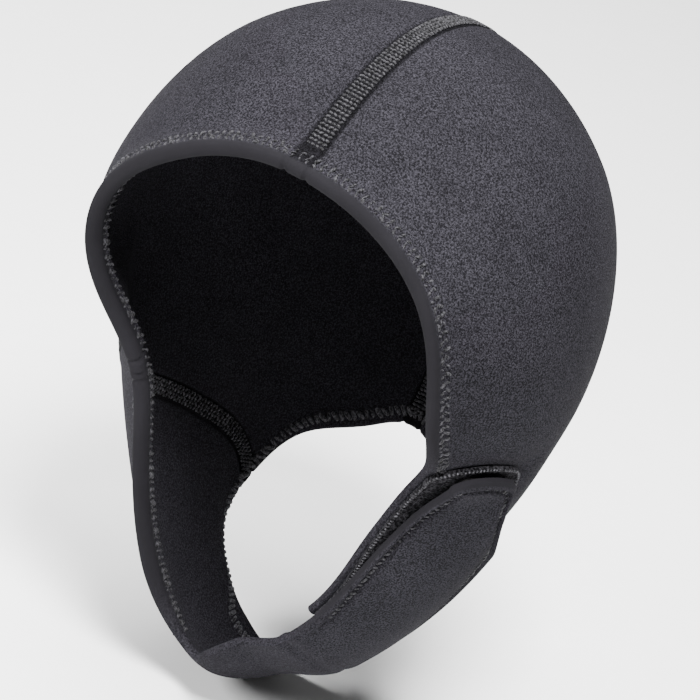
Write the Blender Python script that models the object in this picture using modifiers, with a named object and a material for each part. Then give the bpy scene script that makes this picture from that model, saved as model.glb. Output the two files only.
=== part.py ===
"""A neoprene diving hood: two crown panels, a chin strap and its hook-and-loop pads.

The wearer faces -Y, with the left ear at +X and the crown at +Z. The origin is the point
inside the crown that rests on the top of the head. Sizes are in metres.
"""

import math

import bmesh
import bpy
import numpy as np

# Outside of the hood, measured from the line through both ears
HALF_WIDTH = 0.0848
CROWN_RISE = 0.0927
BACK_REACH = 0.0934
BROW_REACH = 0.082
CHIN_DROP = 0.1427

# Sheet, hems and seams
WALL = 0.003
HEM = 0.0054
HEM_WIDTH = 0.010
TEMPLE_FLARE = 0.0030
CHEEK_FLARE = 0.0020
HEM_TURN_START = 0.007
FLARE_WIDTH = 0.014
SEAM_GAP = 0.0005

# Chin strap and its fastening on the wearer's left
TAB_WIDTH = 0.0465
TAB_END_ROUND = 0.012
LOOP_PAD = 0.0013
LOOP_PAD_FRONT = 0.0015
LOOP_PAD_MARGIN = 0.004
HOOK_PAD = 0.0009
HOOK_PAD_INSET = 0.005
PAD_CLEARANCE = 0.0004

# Turns in the side view, in degrees from straight up, forwards counted positive
BROW_TURN = 48.0
CHIN_TURN = 169.6
NAPE_TURN = -131.0
THROAT_TURN = 191.5

# Side profile: turn, share of the quarter ellipse through the reaches above
PROFILE = (
    (-180, 1.001),
    (-135, 1.039),
    (-90, 1.0),
    (-45, 0.968),
    (0, 1.0),
    (45, 0.98),
    (90, 0.984),
    (135, 0.691),
)

# Squareness of the cross section, above the brow and below the nape
ROUND_ABOVE = 1.99
ROUND_BELOW = 1.565
ROUND_TURN = 30
# Width left at the jaw, as a share, and the turn where it is narrowest
JAW_SHARE = 0.843
JAW_TURN = 160
# How far the cheeks lie flat between face edge and neck edge
CHEEK_FLAT = 0.267
CHEEK_START = 0.25
CHEEK_END = 0.70

# Face edge: share of the turn from brow to chin, reach from the ear on the left and right
FACE_EDGE = (
    (0.0, 1.0, 1.0),
    (0.08, 0.629, 0.648),
    (0.28, 0.489, 0.443),
    (0.5, 0.458, 0.501),
    (0.72, 0.521, 0.64),
    (0.92, 0.687, 0.746),
    (1.0, 1.0, 1.0),
)
# The face edge crosses the chin aslant, because the tab pulls it up on the left
CHIN_SLANT = 1.2

# Neck edge: share of the turn from nape to throat, reach from the ear on the left and right
NECK_EDGE = (
    (0.0, 1.0, 1.0),
    (0.095, 0.87, 0.898),
    (0.33, 0.73, 0.741),
    (0.62, 0.746, 0.676),
    (0.86, 0.675, 0.677),
    (1.0, 1.0, 1.0),
)

# Jaw seam on the right: share of the way back, place down the panel
JAW_SEAM = (
    (0.0, 0.646),
    (0.35, 0.653),
    (0.65, 0.655),
    (1.0, 0.54),
)

# Places down a panel, as shares of the way from the crown seam to the middle of the chin
FLAP_TAPER_START = 0.55
FLAP_END = 0.815
FLAP_END_SHARE = 0.64
FLAP_CORNER = 0.03
FLAP_CORNER_START = 0.70
LIFT_START = 0.92
LIFT_FULL = 0.84
TAB_TIP = 0.512
TAB_SLANT = 0.097
TAB_WIDENS = 0.80
LOOP_PAD_LOW = 0.81
HOOK_PAD_LOW = 0.79
HEM_FADE_START = 0.86
HEM_FADE_END = 0.96
FLAP_HEM_FADE_START = 0.42
FLAP_HEM_FADE_END = 0.54
TEMPLE_END = 0.22
CHEEK_SIDE = 0.42

# Front edge of the tab on the flap: place down the panel, share of the way back
TAB_FRONT = (
    (0.5, 0.074),
    (0.59, 0.046),
    (0.66, 0.032),
    (0.72, 0.014),
    (0.79, 0.0),
    (1.0, 0.0),
)

# Looks
NEOPRENE = (0.020, 0.020, 0.022)
NEOPRENE_ROUGH = 0.7
LOOP_PILE = (0.012, 0.012, 0.013)
LOOP_ROUGH = 0.95
HOOK_TAPE = (0.015, 0.015, 0.015)
HOOK_ROUGH = 0.5

# Mesh steps
PANEL_ROWS = 32
RIGHT_ROWS = 22
STRAP_ROWS = 30
COLUMNS = 16
COLUMN_CHANGE = 0.3
NARROW_ROW = 0.2
PAD_STEPS = 14
MEASURE_STEPS = 25
NEAR = 1e-4
HEM_STEPS = (0.0, 0.35, 0.72, 1.0)

LEFT = 1
RIGHT = -1

LOOP_LIFT = PAD_CLEARANCE
HOOK_LIFT = LOOP_LIFT + LOOP_PAD + PAD_CLEARANCE
TAB_LIFT = HOOK_LIFT + HOOK_PAD + PAD_CLEARANCE + WALL


def spline(knots, values, at, start=None, end=None):
    """A smooth curve through the values, with its end slopes given or left free."""
    knots = np.asarray(knots, float)
    values = np.asarray(values, float).reshape(len(knots), -1)
    at = np.asarray(at, float)
    step = np.diff(knots)[:, None]
    rise = np.diff(values, axis=0) / step
    last = len(knots) - 1
    weights = np.zeros((last + 1, last + 1))
    wanted = np.zeros(values.shape)
    for i in range(1, last):
        weights[i, i - 1] = 1 / step[i - 1, 0]
        weights[i, i] = 2 / step[i - 1, 0] + 2 / step[i, 0]
        weights[i, i + 1] = 1 / step[i, 0]
        wanted[i] = 3 * (rise[i - 1] / step[i - 1] + rise[i] / step[i])
    for row, inner, slope, span in ((0, 1, start, 0), (last, last - 1, end, last - 1)):
        weights[row, row] = 1 if slope is not None else 2
        weights[row, inner] = 0 if slope is not None else 1
        wanted[row] = slope if slope is not None else 3 * rise[span]
    slopes = np.linalg.solve(weights, wanted)
    i = np.clip(np.searchsorted(knots, at.ravel()) - 1, 0, last - 1)
    u = ((at.ravel() - knots[i]) / step[i, 0])[:, None]
    curve = values[i] * (1 + 2 * u) * (1 - u) ** 2 + values[i + 1] * u * u * (3 - 2 * u)
    curve += step[i] * u * (1 - u) * (slopes[i] * (1 - u) - slopes[i + 1] * u)
    return curve.reshape(at.shape + (-1,))


def ramp(value, start, end):
    """0 before start and 1 after end, smooth between them."""
    u = np.clip((value - start) / (end - start), 0, 1)
    return u * u * (3 - 2 * u)


def turned(degrees):
    """Unit arrow in the side view, as forwards and up, at a turn from straight up."""
    angle = np.radians(degrees)
    return np.stack([np.sin(angle), np.cos(angle)], -1)


def profile_radius(turn):
    """Reach of the side profile from the ear line at a turn in radians."""
    up_down = np.where(np.cos(turn) > 0, CROWN_RISE, CHIN_DROP)
    fore_aft = np.where(np.sin(turn) > 0, BROW_REACH, BACK_REACH)
    ellipse = 1 / np.sqrt((np.cos(turn) / up_down) ** 2 + (np.sin(turn) / fore_aft) ** 2)
    rows = [(angle + lap, share) for lap in (-360, 0, 360) for angle, share in PROFILE]
    angles, shares = zip(*rows)
    return ellipse * spline(angles, shares, np.degrees(turn))[..., 0]


def head_surface(place):
    """Point of the left half of the form. The place is forwards and up, 0 at the ear, 1 at the middle."""
    turn = np.arctan2(place[..., 0], place[..., 1])
    round_way = np.minimum(np.linalg.norm(place, axis=-1), 1) * math.pi / 2
    across, along = np.cos(round_way), np.sin(round_way)
    low = 0.5 - 0.5 * np.cos(turn - math.radians(ROUND_TURN))
    power = ROUND_ABOVE + (ROUND_BELOW - ROUND_ABOVE) * low
    size = (across**power + along**power) ** (-1 / power)
    at_jaw = (0.5 + 0.5 * np.cos(turn - math.radians(JAW_TURN))) ** 3
    width = HALF_WIDTH * (1 - (1 - JAW_SHARE) * at_jaw * along**2)
    reach = size * along * profile_radius(turn)
    return np.stack([width * size * across, -reach * np.sin(turn), reach * np.cos(turn)], -1)


def edge_place(first, last, steps, reaches, slant, t):
    """Place on an edge that leaves the middle squarely at the top and with a slant at the chin."""
    points = turned(first + np.array(steps) * (last - first)) * np.array(reaches)[:, None]
    run = np.concatenate([[0], np.cumsum(np.linalg.norm(np.diff(points, axis=0), axis=1))])
    out = points[-1]
    leave = out + slant * np.array([out[1], -out[0]])
    leave *= run[-1] / np.linalg.norm(leave)
    return spline(run / run[-1], points, t, -points[0] * run[-1], leave)


def panel_place(side, t, s):
    """Place on a half hood: t runs from crown seam to chin, s from face edge to neck edge."""
    steps, left_reach, right_reach = zip(*FACE_EDGE)
    reaches = left_reach if side == LEFT else right_reach
    neck_steps, left_neck, right_neck = zip(*NECK_EDGE)
    neck_reach = left_neck if side == LEFT else right_neck

    def face(at):
        return edge_place(BROW_TURN, CHIN_TURN, steps, reaches, CHIN_SLANT * side, at)

    def neck(at):
        return edge_place(NAPE_TURN, THROAT_TURN - 360, neck_steps, neck_reach, 0, at)

    crown = turned(BROW_TURN + (NAPE_TURN - BROW_TURN) * s)
    chin = turned(CHIN_TURN + (THROAT_TURN - CHIN_TURN) * s)
    corners = np.array([[face(0.0), neck(0.0)], [face(1.0), neck(1.0)]])
    t, s = t[..., None], s[..., None]
    sides = (1 - s) * face(t[..., 0]) + s * neck(t[..., 0])
    ends = (1 - t) * crown + t * chin
    square = (1 - t) * ((1 - s) * corners[0, 0] + s * corners[0, 1])
    square = square + t * ((1 - s) * corners[1, 0] + s * corners[1, 1])
    return sides + ends - square


def panel_point(side, t, s):
    """Outer point of a half hood, before the origin is moved to the top of the head."""
    t, s = np.broadcast_arrays(np.asarray(t, float), np.asarray(s, float))
    form = head_surface(panel_place(side, t, s))
    front = head_surface(panel_place(side, t, np.zeros_like(s)))
    back = head_surface(panel_place(side, t, np.ones_like(s)))
    flat = CHEEK_FLAT * ramp(t, CHEEK_START, CHEEK_END)[..., None]
    straight = (1 - s[..., None]) * front + s[..., None] * back
    return (form + flat * (straight - form)) * np.array([side, 1, 1])


def lifted(side, t, s, lift):
    """Point at a height above the outer face of a half hood, in the part's own frame."""
    t, s, lift = np.broadcast_arrays(*(np.asarray(v, float) for v in (t, s, lift)))
    down = panel_point(side, np.minimum(t + NEAR, 1), s) - panel_point(side, t - NEAR, s)
    across = panel_point(side, t, s + NEAR) - panel_point(side, t, s - NEAR)
    normal = np.cross(down, across) * side
    normal /= np.linalg.norm(normal, axis=-1, keepdims=True)
    point = panel_point(side, t, s) + normal * lift[..., None]
    return point - np.array([0, 0, CROWN_RISE - WALL])


def panel_width(side, t):
    """Length from face edge to neck edge along the outside, at each t."""
    t = np.asarray(t, float)
    line = panel_point(side, t[..., None], np.linspace(0, 1, MEASURE_STEPS))
    return np.linalg.norm(np.diff(line, axis=-2), axis=-1).sum(-1)


def panel_length():
    """Length from crown seam to chin down the middle of a panel."""
    line = panel_point(LEFT, np.linspace(0, 1, 4 * MEASURE_STEPS), 0.5)
    return np.linalg.norm(np.diff(line, axis=0), axis=1).sum()


def seam_place(s):
    """Place of the jaw seam down the right panel: t at each s."""
    shares, places = zip(*JAW_SEAM)
    return spline(shares, places, s)[..., 0]


def hem_kept(side, t):
    """1 where the face edge is hemmed. The hem ends at the chin, and above the pads on the left."""
    if side == LEFT:
        return 1 - ramp(t, FLAP_HEM_FADE_START, FLAP_HEM_FADE_END)
    return 1 - ramp(t, HEM_FADE_START, HEM_FADE_END)


def hem_amount(side, t, from_face):
    """1 on the turned hem of the face edge and 0 off it, by the distance from that edge."""
    return hem_kept(side, t) * (1 - ramp(from_face, HEM_TURN_START, HEM_WIDTH))


def flare(side, t, from_face):
    """How far the hem stands out from the panel, most at the temples."""
    out = TEMPLE_FLARE + (CHEEK_FLARE - TEMPLE_FLARE) * ramp(t, TEMPLE_END, CHEEK_SIDE)
    return out * hem_kept(side, t) * (1 - ramp(from_face, 0, FLARE_WIDTH))


def material(name, colour, roughness):
    made = bpy.data.materials.new(name)
    made.use_nodes = True
    shader = made.node_tree.nodes["Principled BSDF"]
    shader.inputs["Base Color"].default_value = (*colour, 1)
    shader.inputs["Roughness"].default_value = roughness
    made.diffuse_color = (*colour, 1)
    return made


def sheet(name, outer, thickness, finish, collection):
    """A cloth piece: a grid of outer points, thickened inwards by the share each point asks."""
    rows, columns = outer.shape[:2]
    mesh = bpy.data.meshes.new(name)
    work = bmesh.new()
    bmesh.ops.create_grid(work, x_segments=columns - 1, y_segments=rows - 1, size=1)
    work.verts.ensure_lookup_table()
    for vertex, point in zip(work.verts, outer.reshape(-1, 3)):
        vertex.co = point
    work.to_mesh(mesh)
    work.free()
    mesh.shade_smooth()
    mesh.materials.append(finish)
    piece = bpy.data.objects.new(name, mesh)
    collection.objects.link(piece)
    most = float(thickness.max())
    group = piece.vertex_groups.new(name="thickness")
    for index, value in enumerate(thickness.ravel()):
        group.add([index], float(value) / most, "REPLACE")
    wall = piece.modifiers.new("wall", "SOLIDIFY")
    wall.thickness = most
    wall.offset = -1
    wall.vertex_group = group.name
    return piece


def face_columns(side, t):
    """Shares of the way back for each column: close together on the hem, then even."""
    hem = np.array(HEM_STEPS) * HEM_WIDTH / panel_width(side, t)[..., None]
    even = np.linspace(0, 1, COLUMNS - len(HEM_STEPS) + 2)[1:]
    return np.concatenate([hem, hem[..., -1:] + (1 - hem[..., -1:]) * even], -1)


def seamed_rows(count):
    """Even shares from 0 to 1, with a narrow row at each end to hold the seams' facing."""
    narrow = NARROW_ROW / count
    return np.concatenate([[0, narrow], np.arange(1, count - 1) / (count - 1), [1 - narrow, 1]])


def flap_band(t):
    """Front and back of the left panel, as shares of the way back. The flap narrows to its end."""
    front = FLAP_CORNER * ramp(t, FLAP_CORNER_START, FLAP_END)
    back = 1 - (1 - FLAP_END_SHARE) * ramp(t, FLAP_TAPER_START, FLAP_END)
    return front, back


def crown_panel(name, side, finish, collection):
    """One half of the crown, down to the flap's end on the left or the jaw seam on the right."""
    rows = seamed_rows(PANEL_ROWS if side == LEFT else RIGHT_ROWS)[:, None]
    gap = SEAM_GAP / 2
    length = panel_length()
    start = gap / length
    s = face_columns(side, rows[:, 0] * (FLAP_END if side == LEFT else JAW_SEAM[0][1]))
    if side == LEFT:
        t = start + rows * (FLAP_END - start) + 0 * s
        front, back = flap_band(t)
        s = front + s * (back - front)
    else:
        t = start + rows * (seam_place(s) - gap / length - start)
    from_face = s * panel_width(side, t)
    outer = lifted(side, t, s, flare(side, t, from_face))
    outer[0, :, 0] = side * gap
    thickness = WALL + (HEM - WALL) * hem_amount(side, t, from_face)
    if side == LEFT:
        outer, thickness = outer[:, ::-1], thickness[:, ::-1]
    return sheet(name, outer, thickness, finish, collection)


def tab_band(t):
    """Front and back of the strap on the left, as shares of the way back at each t."""
    places, shares = zip(*TAB_FRONT)
    front = np.clip(spline(places, shares, t)[..., 0], 0, 1)
    narrow = front + TAB_WIDTH / panel_width(LEFT, t)
    back = narrow + (1 - narrow) * ramp(t, TAB_WIDENS, 1)
    return front, back


def tab_end(tip, rounding, turn):
    """Place of the tab's rounded end down the panel. It runs aslant, lower at the back."""
    return tip + rounding / panel_length() * (1 - np.sin(turn)) + TAB_SLANT * (0.5 - 0.5 * np.cos(turn))


def chin_strap(finish, collection):
    """From the jaw seam on the right, under the chin, to the rounded tab on the left."""
    turn = np.linspace(0, math.pi, COLUMNS + 1)
    round_v = 0.5 - 0.5 * np.cos(turn)
    length = panel_length()
    right_rows = STRAP_ROWS // 2
    down = seamed_rows(right_rows)[:-2, None]
    v = face_columns(RIGHT, JAW_SEAM[0][1] + down[:, 0] * (1 - JAW_SEAM[0][1]))
    first = seam_place(v) + SEAM_GAP / 2 / length
    right_t = first + down * (1 - first)
    from_face = v * panel_width(RIGHT, right_t)
    right = lifted(RIGHT, right_t, v, flare(RIGHT, right_t, from_face))
    right_wall = WALL + (HEM - WALL) * hem_amount(RIGHT, right_t, from_face)

    up = np.linspace(0, 1, STRAP_ROWS - right_rows + 1)[:, None]
    tip = tab_end(TAB_TIP, TAB_END_ROUND, turn)
    left_t = 1 - up * (1 - tip)
    front, back = tab_band(left_t)
    chin_v = face_columns(LEFT, np.ones(1))
    v = chin_v + (round_v - chin_v) * ramp(up, 0, COLUMN_CHANGE)
    left_s = front + (back - front) * v
    lift = TAB_LIFT * ramp(left_t, LIFT_START, LIFT_FULL)
    left = lifted(LEFT, left_t, left_s, lift)
    left_wall = np.full(left_t.shape, WALL)
    outer = np.concatenate([right, left])
    thickness = np.concatenate([right_wall, left_wall])
    return sheet("chin_strap", outer, thickness, finish, collection)


def pad(name, low, margin, lift, thickness, finish, collection):
    """A pad under the tab, standing out past the tab's outline by a margin."""
    turn = np.linspace(0, math.pi, PAD_STEPS + 1)
    v = 0.5 - 0.5 * np.cos(turn)
    tip = tab_end(TAB_TIP - margin / panel_length(), TAB_END_ROUND + margin, turn)
    t = low - np.linspace(0, 1, PAD_STEPS + 1)[:, None] * (low - tip)
    front, back = tab_band(t)
    width = panel_width(LEFT, t)
    front = flap_band(t)[0] + LOOP_PAD_FRONT / width if margin > 0 else front - margin / width
    back = back + margin / width
    outer = lifted(LEFT, t, front + (back - front) * v, lift + thickness)
    return sheet(name, outer, np.full(t.shape, thickness), finish, collection)


def build():
    for old in list(bpy.data.objects):
        bpy.data.objects.remove(old, do_unlink=True)
    hood = bpy.data.collections.new("diving_hood")
    bpy.context.scene.collection.children.link(hood)
    left_finish = material("neoprene_left", NEOPRENE, NEOPRENE_ROUGH)
    right_finish = material("neoprene_right", NEOPRENE, NEOPRENE_ROUGH)
    strap_finish = material("neoprene_strap", NEOPRENE, NEOPRENE_ROUGH)
    loop_finish = material("loop_pile", LOOP_PILE, LOOP_ROUGH)
    hook_finish = material("hook_tape", HOOK_TAPE, HOOK_ROUGH)
    crown_panel("crown_left", LEFT, left_finish, hood)
    crown_panel("crown_right", RIGHT, right_finish, hood)
    chin_strap(strap_finish, hood)
    pad("loop_pad", LOOP_PAD_LOW, LOOP_PAD_MARGIN, LOOP_LIFT, LOOP_PAD, loop_finish, hood)
    pad("hook_pad", HOOK_PAD_LOW, -HOOK_PAD_INSET, HOOK_LIFT, HOOK_PAD, hook_finish, hood)


build()
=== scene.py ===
"""A neoprene diving hood in the shape it has when worn, its chin strap fastened on the left cheek."""

import math

import bmesh
import bpy
import numpy as np
from mathutils import Matrix, Vector


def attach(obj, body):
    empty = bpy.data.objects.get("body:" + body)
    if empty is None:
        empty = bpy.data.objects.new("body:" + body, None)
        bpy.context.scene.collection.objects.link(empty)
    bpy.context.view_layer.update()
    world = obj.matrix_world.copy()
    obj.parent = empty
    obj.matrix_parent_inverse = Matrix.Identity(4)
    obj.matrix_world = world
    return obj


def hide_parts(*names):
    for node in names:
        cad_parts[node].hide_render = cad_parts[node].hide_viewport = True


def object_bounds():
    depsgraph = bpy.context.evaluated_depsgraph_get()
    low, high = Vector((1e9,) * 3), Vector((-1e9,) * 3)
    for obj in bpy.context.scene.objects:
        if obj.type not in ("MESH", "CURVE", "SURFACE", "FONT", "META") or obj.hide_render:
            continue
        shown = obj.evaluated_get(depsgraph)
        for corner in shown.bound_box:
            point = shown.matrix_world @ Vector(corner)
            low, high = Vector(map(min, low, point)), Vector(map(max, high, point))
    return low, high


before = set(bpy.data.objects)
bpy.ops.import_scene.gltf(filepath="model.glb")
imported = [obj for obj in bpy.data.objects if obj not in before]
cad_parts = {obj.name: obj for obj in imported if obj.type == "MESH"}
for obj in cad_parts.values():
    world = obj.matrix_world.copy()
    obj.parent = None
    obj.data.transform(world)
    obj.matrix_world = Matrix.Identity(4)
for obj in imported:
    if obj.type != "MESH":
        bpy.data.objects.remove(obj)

cad_low, cad_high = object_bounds()


# Left half of the crown, with the flap that the tab fastens on.
# 3 mm foam rubber faced on both sides with black polyester jersey, cut flat and sewn to shape.
# Its face edge is turned in and sewn down; the neck edge is cut and overlocked.
LEFT = 1
RIGHT = -1
WALL = 0.003
HEM = 0.0054
HEM_WIDTH = 0.010
HEM_TURN_START = 0.007
TEMPLE_FLARE = 0.0030
CHEEK_FLARE = 0.0020
FLARE_WIDTH = 0.014
HEM_ROLL = 0.0006
HEM_ROLL_WIDTH = 0.0046
BARE_BAND = (0.0036, 0.0046)
ZIGZAG_FROM_EDGE = 0.0062
ZIGZAG_GROOVE = 0.0004
ZIGZAG_GROOVE_WIDTH = 0.0022
SEAM_GROOVE = 0.0006
SEAM_GROOVE_AT = 0.0036
SEAM_GROOVE_WIDTH = 0.0013
SEAM_SHADE = (0.0036, 0.0044)
SEAM_GAP = 0.00002
HALF_WIDTH = 0.0848
CROWN_RISE = 0.0927
BACK_REACH = 0.0934
BROW_REACH = 0.082
CHIN_DROP = 0.1427
BROW_TURN = 48.0
CHIN_TURN = 169.6
NAPE_TURN = -131.0
THROAT_TURN = 191.5
PROFILE = (
    (-180, 1.001),
    (-135, 1.039),
    (-90, 1.0),
    (-45, 0.968),
    (0, 1.0),
    (45, 0.98),
    (90, 0.984),
    (135, 0.691),
)
ROUND_ABOVE = 1.99
ROUND_BELOW = 1.565
ROUND_TURN = 30
JAW_SHARE = 0.843
JAW_TURN = 160
CHEEK_FLAT = 0.267
CHEEK_START = 0.25
CHEEK_END = 0.70
FACE_EDGE = (
    (0.0, 1.0, 1.0),
    (0.08, 0.629, 0.648),
    (0.28, 0.489, 0.443),
    (0.5, 0.458, 0.501),
    (0.72, 0.521, 0.64),
    (0.92, 0.687, 0.746),
    (1.0, 1.0, 1.0),
)
CHIN_SLANT = 1.2
NECK_EDGE = (
    (0.0, 1.0, 1.0),
    (0.095, 0.87, 0.898),
    (0.33, 0.73, 0.741),
    (0.62, 0.746, 0.676),
    (0.86, 0.675, 0.677),
    (1.0, 1.0, 1.0),
)
FLAP_TAPER_START = 0.55
FLAP_END = 0.815
FLAP_END_SHARE = 0.64
FLAP_CORNER = 0.03
FLAP_CORNER_START = 0.70
HEM_FADE_START = 0.86
HEM_FADE_END = 0.96
FLAP_HEM_FADE_START = 0.42
FLAP_HEM_FADE_END = 0.54
TEMPLE_END = 0.22
CHEEK_SIDE = 0.42
CROWN_ROWS = 170
SEAM_ROWS = 22
SEAM_SHARE = 0.045
HEM_COLUMNS = 22
CROWN_COLUMNS = 96
EDGE_STEPS = 7
CUT_SQUARENESS = 0.65
MEASURE_STEPS = 25
NEAR = 1e-4


def spline(knots, values, at, start=None, end=None):
    """A smooth curve through the values, with its end slopes given or left free."""
    knots = np.asarray(knots, float)
    values = np.asarray(values, float).reshape(len(knots), -1)
    at = np.asarray(at, float)
    step = np.diff(knots)[:, None]
    rise = np.diff(values, axis=0) / step
    last = len(knots) - 1
    weights = np.zeros((last + 1, last + 1))
    wanted = np.zeros(values.shape)
    for i in range(1, last):
        weights[i, i - 1] = 1 / step[i - 1, 0]
        weights[i, i] = 2 / step[i - 1, 0] + 2 / step[i, 0]
        weights[i, i + 1] = 1 / step[i, 0]
        wanted[i] = 3 * (rise[i - 1] / step[i - 1] + rise[i] / step[i])
    for row, inner, slope, span in ((0, 1, start, 0), (last, last - 1, end, last - 1)):
        weights[row, row] = 1 if slope is not None else 2
        weights[row, inner] = 0 if slope is not None else 1
        wanted[row] = slope if slope is not None else 3 * rise[span]
    slopes = np.linalg.solve(weights, wanted)
    i = np.clip(np.searchsorted(knots, at.ravel()) - 1, 0, last - 1)
    u = ((at.ravel() - knots[i]) / step[i, 0])[:, None]
    curve = values[i] * (1 + 2 * u) * (1 - u) ** 2 + values[i + 1] * u * u * (3 - 2 * u)
    curve += step[i] * u * (1 - u) * (slopes[i] * (1 - u) - slopes[i + 1] * u)
    return curve.reshape(at.shape + (-1,))


def ramp(value, start, end):
    """0 before start and 1 after end, smooth between them."""
    u = np.clip((value - start) / (end - start), 0, 1)
    return u * u * (3 - 2 * u)


def hump(distance, width):
    """1 at no distance and 0 from a width on, smooth between them."""
    u = np.clip(1 - np.abs(distance) / width, 0, 1)
    return u * u * (3 - 2 * u)


def turned(degrees):
    """Unit arrow in the side view, as forwards and up, at a turn from straight up."""
    angle = np.radians(degrees)
    return np.stack([np.sin(angle), np.cos(angle)], -1)


def profile_radius(turn):
    """Reach of the side profile from the ear line at a turn in radians."""
    up_down = np.where(np.cos(turn) > 0, CROWN_RISE, CHIN_DROP)
    fore_aft = np.where(np.sin(turn) > 0, BROW_REACH, BACK_REACH)
    ellipse = 1 / np.sqrt((np.cos(turn) / up_down) ** 2 + (np.sin(turn) / fore_aft) ** 2)
    rows = [(angle + lap, share) for lap in (-360, 0, 360) for angle, share in PROFILE]
    angles, shares = zip(*rows)
    return ellipse * spline(angles, shares, np.degrees(turn))[..., 0]


def form_surface(place):
    """Point of the left half of the form. The place is forwards and up, 0 at the ear, 1 at the middle."""
    turn = np.arctan2(place[..., 0], place[..., 1])
    round_way = np.minimum(np.linalg.norm(place, axis=-1), 1) * math.pi / 2
    across, along = np.cos(round_way), np.sin(round_way)
    low = 0.5 - 0.5 * np.cos(turn - math.radians(ROUND_TURN))
    power = ROUND_ABOVE + (ROUND_BELOW - ROUND_ABOVE) * low
    size = (across**power + along**power) ** (-1 / power)
    at_jaw = (0.5 + 0.5 * np.cos(turn - math.radians(JAW_TURN))) ** 3
    width = HALF_WIDTH * (1 - (1 - JAW_SHARE) * at_jaw * along**2)
    reach = size * along * profile_radius(turn)
    return np.stack([width * size * across, -reach * np.sin(turn), reach * np.cos(turn)], -1)


def edge_place(first, last, steps, reaches, slant, t):
    """Place on an edge that leaves the middle squarely at the top and with a slant at the chin."""
    points = turned(first + np.array(steps) * (last - first)) * np.array(reaches)[:, None]
    run = np.concatenate([[0], np.cumsum(np.linalg.norm(np.diff(points, axis=0), axis=1))])
    out = points[-1]
    leave = out + slant * np.array([out[1], -out[0]])
    leave *= run[-1] / np.linalg.norm(leave)
    return spline(run / run[-1], points, t, -points[0] * run[-1], leave)


def panel_place(side, t, s):
    """Place on a half hood: t runs from crown seam to chin, s from face edge to neck edge."""
    steps, left_reach, right_reach = zip(*FACE_EDGE)
    reaches = left_reach if side == LEFT else right_reach
    neck_steps, left_neck, right_neck = zip(*NECK_EDGE)
    neck_reach = left_neck if side == LEFT else right_neck

    def face(at):
        return edge_place(BROW_TURN, CHIN_TURN, steps, reaches, CHIN_SLANT * side, at)

    def neck(at):
        return edge_place(NAPE_TURN, THROAT_TURN - 360, neck_steps, neck_reach, 0, at)

    crown = turned(BROW_TURN + (NAPE_TURN - BROW_TURN) * s)
    chin = turned(CHIN_TURN + (THROAT_TURN - CHIN_TURN) * s)
    corners = np.array([[face(0.0), neck(0.0)], [face(1.0), neck(1.0)]])
    t, s = t[..., None], s[..., None]
    sides = (1 - s) * face(t[..., 0]) + s * neck(t[..., 0])
    ends = (1 - t) * crown + t * chin
    square = (1 - t) * ((1 - s) * corners[0, 0] + s * corners[0, 1])
    square = square + t * ((1 - s) * corners[1, 0] + s * corners[1, 1])
    return sides + ends - square


def panel_point(side, t, s):
    """Outer point of a half hood, before the origin is moved to the inside top of the crown."""
    t, s = np.broadcast_arrays(np.asarray(t, float), np.asarray(s, float))
    form = form_surface(panel_place(side, t, s))
    front = form_surface(panel_place(side, t, np.zeros_like(s)))
    back = form_surface(panel_place(side, t, np.ones_like(s)))
    flat = CHEEK_FLAT * ramp(t, CHEEK_START, CHEEK_END)[..., None]
    straight = (1 - s[..., None]) * front + s[..., None] * back
    return (form + flat * (straight - form)) * np.array([side, 1, 1])


def lifted(side, t, s, lift):
    """Point at a height above the outer face of a half hood, and the way out there."""
    t, s, lift = np.broadcast_arrays(*(np.asarray(v, float) for v in (t, s, lift)))
    down = panel_point(side, np.minimum(t + NEAR, 1), s) - panel_point(side, t - NEAR, s)
    across = panel_point(side, t, s + NEAR) - panel_point(side, t, s - NEAR)
    out = np.cross(down, across) * side
    out /= np.linalg.norm(out, axis=-1, keepdims=True)
    point = panel_point(side, t, s) + out * lift[..., None]
    return point - np.array([0, 0, CROWN_RISE - WALL]), out


def panel_width(side, t):
    """Length from face edge to neck edge along the outside, at each t."""
    t = np.asarray(t, float)
    line = panel_point(side, t[..., None], np.linspace(0, 1, MEASURE_STEPS))
    return np.linalg.norm(np.diff(line, axis=-2), axis=-1).sum(-1)


def panel_length():
    """Length from crown seam to chin down the middle of a panel."""
    line = panel_point(LEFT, np.linspace(0, 1, 4 * MEASURE_STEPS), 0.5)
    return np.linalg.norm(np.diff(line, axis=0), axis=1).sum()


def hem_kept(side, t):
    """1 where the face edge is hemmed. The hem ends at the chin, and above the pads on the left."""
    if side == LEFT:
        return 1 - ramp(t, FLAP_HEM_FADE_START, FLAP_HEM_FADE_END)
    return 1 - ramp(t, HEM_FADE_START, HEM_FADE_END)


def hem_lift(side, t, from_face):
    """Height of the outer face at the hem: it flares, its rolled edge is full, the sewn line sinks in."""
    out = TEMPLE_FLARE + (CHEEK_FLARE - TEMPLE_FLARE) * ramp(t, TEMPLE_END, CHEEK_SIDE)
    lift = out * (1 - ramp(from_face, 0, FLARE_WIDTH))
    lift = lift + HEM_ROLL * np.sin(math.pi * np.clip(from_face / HEM_ROLL_WIDTH, 0, 1))
    groove = hump(from_face - ZIGZAG_FROM_EDGE, ZIGZAG_GROOVE_WIDTH)
    return (lift - ZIGZAG_GROOVE * groove) * hem_kept(side, t)


def hem_thickness(side, t, from_face):
    """Two layers of sheet on the hem, one off it."""
    return WALL + (HEM - WALL) * hem_kept(side, t) * (1 - ramp(from_face, HEM_TURN_START, HEM_WIDTH))


def seam_dip(from_seam):
    """Depth of the groove that runs along each side of a flatlock seam."""
    return SEAM_GROOVE * hump(from_seam - SEAM_GROOVE_AT, SEAM_GROOVE_WIDTH)


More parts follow.
